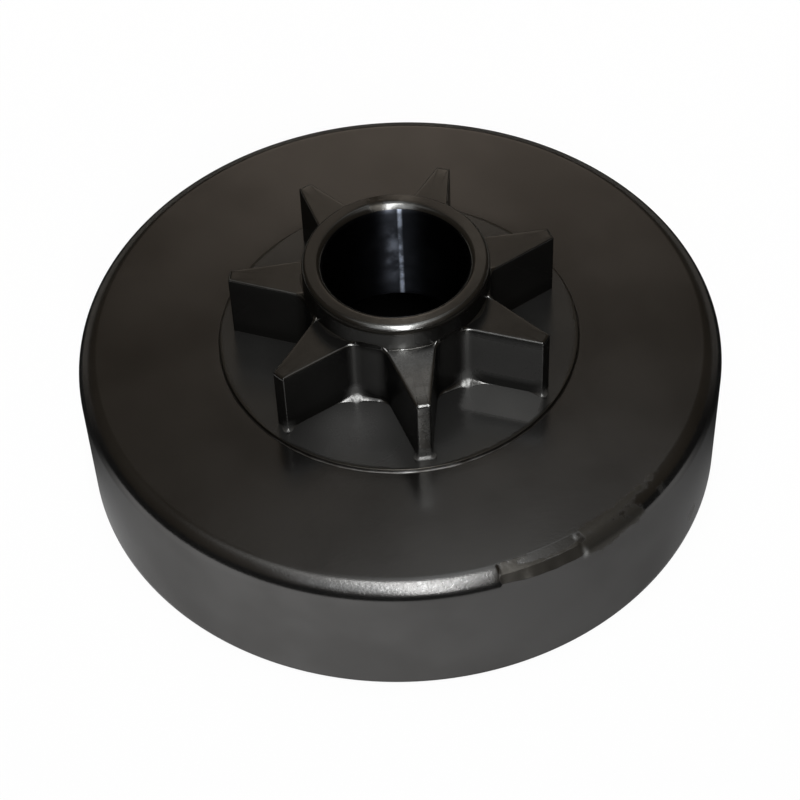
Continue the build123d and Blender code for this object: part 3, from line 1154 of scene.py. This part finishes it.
@dataclass
class BrazeBead:
    """The concave run of braze in the corner between the flange's edge and the drum's face."""

    radius: float
    face: float
    size: float = 0.18
    sink: float = 0.06
    unevenness: float = 0.04
    painted_highlight_at: float = 265.0
    painted_highlight_half: float = 34.0
    painted_highlight_share: float = 0.5
    painted_glint_at: float = 264.5
    painted_glint_half: float = 1.5
    finish: BrazeFlow = field(default_factory=lambda: BrazeFlow("braze"))

    def skin(self) -> Skin:
        """A small hollow-faced wedge turned round the axis, whose size wavers along the run."""
        angle = np.radians(np.linspace(0.0, 360.0, 720, endpoint=False))
        size = self.size + self.unevenness * ripple(angle, (9.0, 23.0, 41.0), 2.0)
        hollow = np.radians(np.linspace(180.0, 270.0, 9))[:, None]
        radius = self.radius + size * (1.0 + np.cos(hollow))
        height = self.face + size * (1.0 + np.sin(hollow))
        inner = np.full((1, len(angle)), self.radius - self.sink)
        radius = np.concatenate([radius, radius[-1:], inner, inner])
        low = np.full((1, len(angle)), self.face - self.sink)
        height = np.concatenate([height, low, low, height[:1]])
        points = np.stack([radius * np.cos(angle), radius * np.sin(angle), height], axis=2)
        # Painted highlight: the bead is lighter on its side towards -Y, with a painted glint in it.
        near = self.painted_highlight_share * np.exp(-(((np.degrees(angle) - self.painted_highlight_at) / self.painted_highlight_half) ** 2))
        near = near + np.exp(-(((np.degrees(angle) - self.painted_glint_at) / self.painted_glint_half) ** 2))
        return Skin(points, {Mark.WEAR_AND_HIGHLIGHT: np.tile(near, (len(points), 1))}, np.zeros(len(points), int))

    def build(self) -> bpy.types.Object:
        """Builds and dresses the bead.

        Returns:
            The bead, an extra piece on the drum.
        """
        piece = self.skin().to_piece("braze_bead", [self.finish.material()])
        return piece


@dataclass
class Studio:
    """A white floor, one tall soft light above the camera, a dim warm room and the camera."""

    floor_radius: float = 2500.0
    eye: tuple[float, float, float] = (-21.01, -171.86, 205.62)
    aim: tuple[float, float, float] = (-0.2019, 0.0100, 4.739)
    roll: float = -0.04463
    lens: float = 103.32
    sensor: float = 36.0
    key_distance: float = 1000.0
    key_azimuth: float = -91.0
    key_elevation: float = 61.0
    key_width: float = 135.0
    key_height: float = 1400.0
    key_radiance: float = 17.5
    key_colour: Colour = (0.98, 0.99, 1.0)
    fill_azimuth: float = -112.0
    fill_elevation: float = 55.0
    fill_width: float = 500.0
    fill_height: float = 700.0
    fill_radiance: float = 1.3
    fill_colour: Colour = (0.92, 0.96, 1.0)
    horizon: Colour = (0.016, 0.014, 0.012)
    room: Colour = (0.072, 0.053, 0.030)
    zenith: Colour = (0.60, 0.60, 0.58)
    overhead: Colour = (1.25, 1.29, 1.31)
    overhead_aside: float = 0.04
    far_wall: Colour = (1.40, 1.20, 1.02)
    card_black: Colour = (0.01, 0.01, 0.01)
    card_turns: tuple[float, float] = (10.0, 70.0)
    flag_radius: float = 120.0
    flag_height: float = 53.0
    flag_far: Colour = (0.50, 0.47, 0.43)
    painted_shade_pad_radius: float = 31.0
    floor_finish: PaleFloor = field(default_factory=lambda: PaleFloor("pale_floor"))

    def floor(self) -> bpy.types.Object:
        """A round floor on a polar grid: each ring's radius grows with the square of its share of the way out."""
        angle = np.radians(np.linspace(0.0, 360.0, 96, endpoint=False))
        radius = self.floor_radius * np.linspace(0.02, 1.0, 24)[:, None] ** 2
        x = radius * np.cos(angle)
        points = np.stack([x, radius * np.sin(angle), np.zeros_like(x)], axis=2).reshape(-1, 3)
        index = np.arange(x.size).reshape(x.shape)
        near, far = index[:-1], index[1:]
        faces = np.stack([near, far, np.roll(far, -1, axis=1), np.roll(near, -1, axis=1)], axis=2)
        rows = faces.reshape(-1, 4).tolist() + [index[0].tolist()]
        mesh = bpy.data.meshes.new("floor")
        mesh.from_pydata(points * METRES, [], rows)
        mesh.materials.append(self.floor_finish.material())
        piece = bpy.data.objects.new("floor", mesh)
        bpy.context.scene.collection.objects.link(piece)
        return piece

    def card(self, name: str, points: np.ndarray, faces: np.ndarray, far: Colour) -> bpy.types.Object:
        """Makes a matt card of the stage, black on the near side.

        Args:
            name: the card's name.
            points: its corners in millimetres.
            faces: the corners of each face.
            far: its colour on the far side.

        Returns:
            The card.
        """
        black = bpy.data.materials.new(name)
        black.use_nodes = True
        graph = Graph(black.node_tree)
        share = graph.along(graph.millimetres(), FAR_SIDE).rise(*self.card_turns)
        colour = graph.blend(opaque(self.card_black), opaque(far), share)
        shader = graph.node("ShaderNodeBsdfPrincipled", {}, {"Base Color": colour, "Specular IOR Level": 0.0})
        graph.node("ShaderNodeOutputMaterial", {}, {"Surface": shader.outputs[0]})
        mesh = bpy.data.meshes.new(name)
        mesh.from_pydata(points * METRES, [], faces)
        mesh.materials.append(black)
        card = bpy.data.objects.new(name, mesh)
        bpy.context.scene.collection.objects.link(card)
        return card

    def flags(self) -> bpy.types.Object:
        """A low screen all round, out of the camera's sight, which keeps the far floor out of reflections."""
        angle = np.radians(np.linspace(0.0, 360.0, 96, endpoint=False))
        level = np.zeros_like(angle)
        base = np.stack([self.flag_radius * np.cos(angle), self.flag_radius * np.sin(angle), level], axis=1)
        points = np.concatenate([base, base + np.array([0.0, 0.0, self.flag_height])])
        index = np.arange(len(angle))
        after = np.roll(index, -1)
        faces = np.stack([index, after, after + len(angle), index + len(angle)], axis=1)
        screen = self.card("flags", points, faces, self.flag_far)
        screen.visible_camera = False
        return screen

    def painted_shade_pad(self) -> bpy.types.Object:
        """A black sheet on the floor inside the drum, painted shade, so that the bore looks down into the dark."""
        angle = np.radians(np.linspace(0.0, 360.0, 64, endpoint=False))
        level = np.full_like(angle, 0.2)
        points = np.stack([self.painted_shade_pad_radius * np.cos(angle), self.painted_shade_pad_radius * np.sin(angle), level], axis=1)
        return self.card("painted_shade_pad", points, np.arange(len(angle))[None], self.card_black)

    def lamp(
        self, name: str, bearing: tuple[float, float], size: tuple[float, float], radiance: float, colour: Colour
    ) -> bpy.types.Object:
        """A soft box that faces the origin. A flat light's power is its radiance times pi times its area.

        Args:
            name: the light's name.
            bearing: its azimuth and elevation from the origin in degrees.
            size: its width and height in millimetres.
            radiance: how bright its face is.
            colour: its colour.

        Returns:
            The light.
        """
        light = bpy.data.lights.new(name, "AREA")
        light.shape = "RECTANGLE"
        light.size = size[0] * METRES
        light.size_y = size[1] * METRES
        light.energy = radiance * math.pi * light.size * light.size_y
        light.color = colour
        azimuth, elevation = (math.radians(angle) for angle in bearing)
        level = math.cos(elevation)
        towards = Vector((level * math.cos(azimuth), level * math.sin(azimuth), math.sin(elevation)))
        lamp = bpy.data.objects.new(name, light)
        lamp.matrix_world = Matrix.Translation(towards * self.key_distance * METRES) @ (
            towards.to_track_quat("Z", "Y").to_matrix().to_4x4()
        )
        bpy.context.scene.collection.objects.link(lamp)
        return lamp

    def lamps(self) -> None:
        """A tall narrow light above the camera, and a wider dim one beside it on the left."""
        key_size = (self.key_width, self.key_height)
        fill_size = (self.fill_width, self.fill_height)
        self.lamp("key", (self.key_azimuth, self.key_elevation), key_size, self.key_radiance, self.key_colour)
        self.lamp("fill", (self.fill_azimuth, self.fill_elevation), fill_size, self.fill_radiance, self.fill_colour)

    def surroundings(self) -> bpy.types.World:
        """The dim room: dark at the horizon, warm above it, pale overhead, with a lighter wall on the far side."""
        world = bpy.data.worlds.new("room")
        world.use_nodes = True
        graph = Graph(world.node_tree)
        direction = graph.node("ShaderNodeTexCoord", {}, {}).outputs["Generated"]
        height = Field(graph, graph.node("ShaderNodeSeparateXYZ", {}, {0: direction}).outputs[2])
        across = graph.along(direction, RIGHT_SIDE)
        far = graph.along(direction, FAR_SIDE).rise(0.0, 0.2) * height.rise(0.50, 0.60)
        far = far * (1.0 - across.maths("ABSOLUTE", across).rise(0.03, 0.22))
        aside = across - self.overhead_aside
        over = height.rise(0.78, 0.84) * (1.0 - aside.maths("ABSOLUTE", aside).rise(0.03, 0.12))
        colour = graph.blend(opaque(self.horizon), opaque(self.room), height.rise(0.05, 0.72))
        zenith = height.rise(0.90, 0.96) * (1.0 - across.maths("ABSOLUTE", across).rise(0.30, 0.50))
        colour = graph.blend(colour, opaque(self.zenith), zenith)
        colour = graph.blend(colour, opaque(self.overhead), over)
        colour = graph.blend(colour, opaque(self.far_wall), far * (1.0 - height.rise(0.60, 0.74)))
        background = graph.node("ShaderNodeBackground", {}, {"Color": colour, "Strength": 1.0})
        graph.node("ShaderNodeOutputWorld", {}, {"Surface": background.outputs[0]})
        bpy.context.scene.world = world
        return world

    def camera(self) -> bpy.types.Object:
        """The camera, turned a little about its own line of sight."""
        lens = bpy.data.cameras.new("camera")
        lens.lens = self.lens
        lens.sensor_width = self.sensor
        lens.clip_start = 0.01
        lens.clip_end = 20.0
        camera = bpy.data.objects.new("camera", lens)
        eye, aim = Vector(self.eye) * METRES, Vector(self.aim) * METRES
        level = (aim - eye).to_track_quat("-Z", "Y").to_matrix().to_4x4()
        camera.matrix_world = Matrix.Translation(eye) @ level @ Matrix.Rotation(self.roll, 4, "Z")
        bpy.context.scene.collection.objects.link(camera)
        bpy.context.scene.camera = camera
        return camera

    def build(self) -> None:
        """Builds the floor, the light, the room and the camera."""
        self.floor()
        self.lamps()
        self.flags()
        self.painted_shade_pad()
        self.surroundings()
        self.camera()
        bpy.context.scene.view_settings.view_transform = "Standard"


def mount_radius(name: str) -> float:
    """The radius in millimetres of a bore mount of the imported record."""
    found = next(mount for mount in frame["record"]["mounts"] if mount["name"] == name)
    return float(found["dims"]["r_mm"])


def main() -> None:
    """Builds the pieces in order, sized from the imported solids, and the studio round them."""
    logging.basicConfig(level=logging.INFO, format="%(name)s: %(message)s")
    _, drum_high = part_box(DRUM_NODE)
    hub_low, hub_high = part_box(SPROCKET_NODE)
    face = drum_high.z / METRES
    drum = ClutchDrum(radius=drum_high.x / METRES, height=face, inner_radius=mount_radius("shoe_track"))
    sprocket = SpurSprocket(
        flange_radius=hub_high.x / METRES,
        bottom=hub_low.z / METRES,
        top=hub_high.z / METRES,
        face=face,
        bore_radius=mount_radius("bearing_bore"),
    )
    bead = BrazeBead(radius=sprocket.flange_radius, face=face)
    for part in (drum, sprocket, bead):
        part.build()
    Studio().build()


if __name__ == "__main__":
    main()
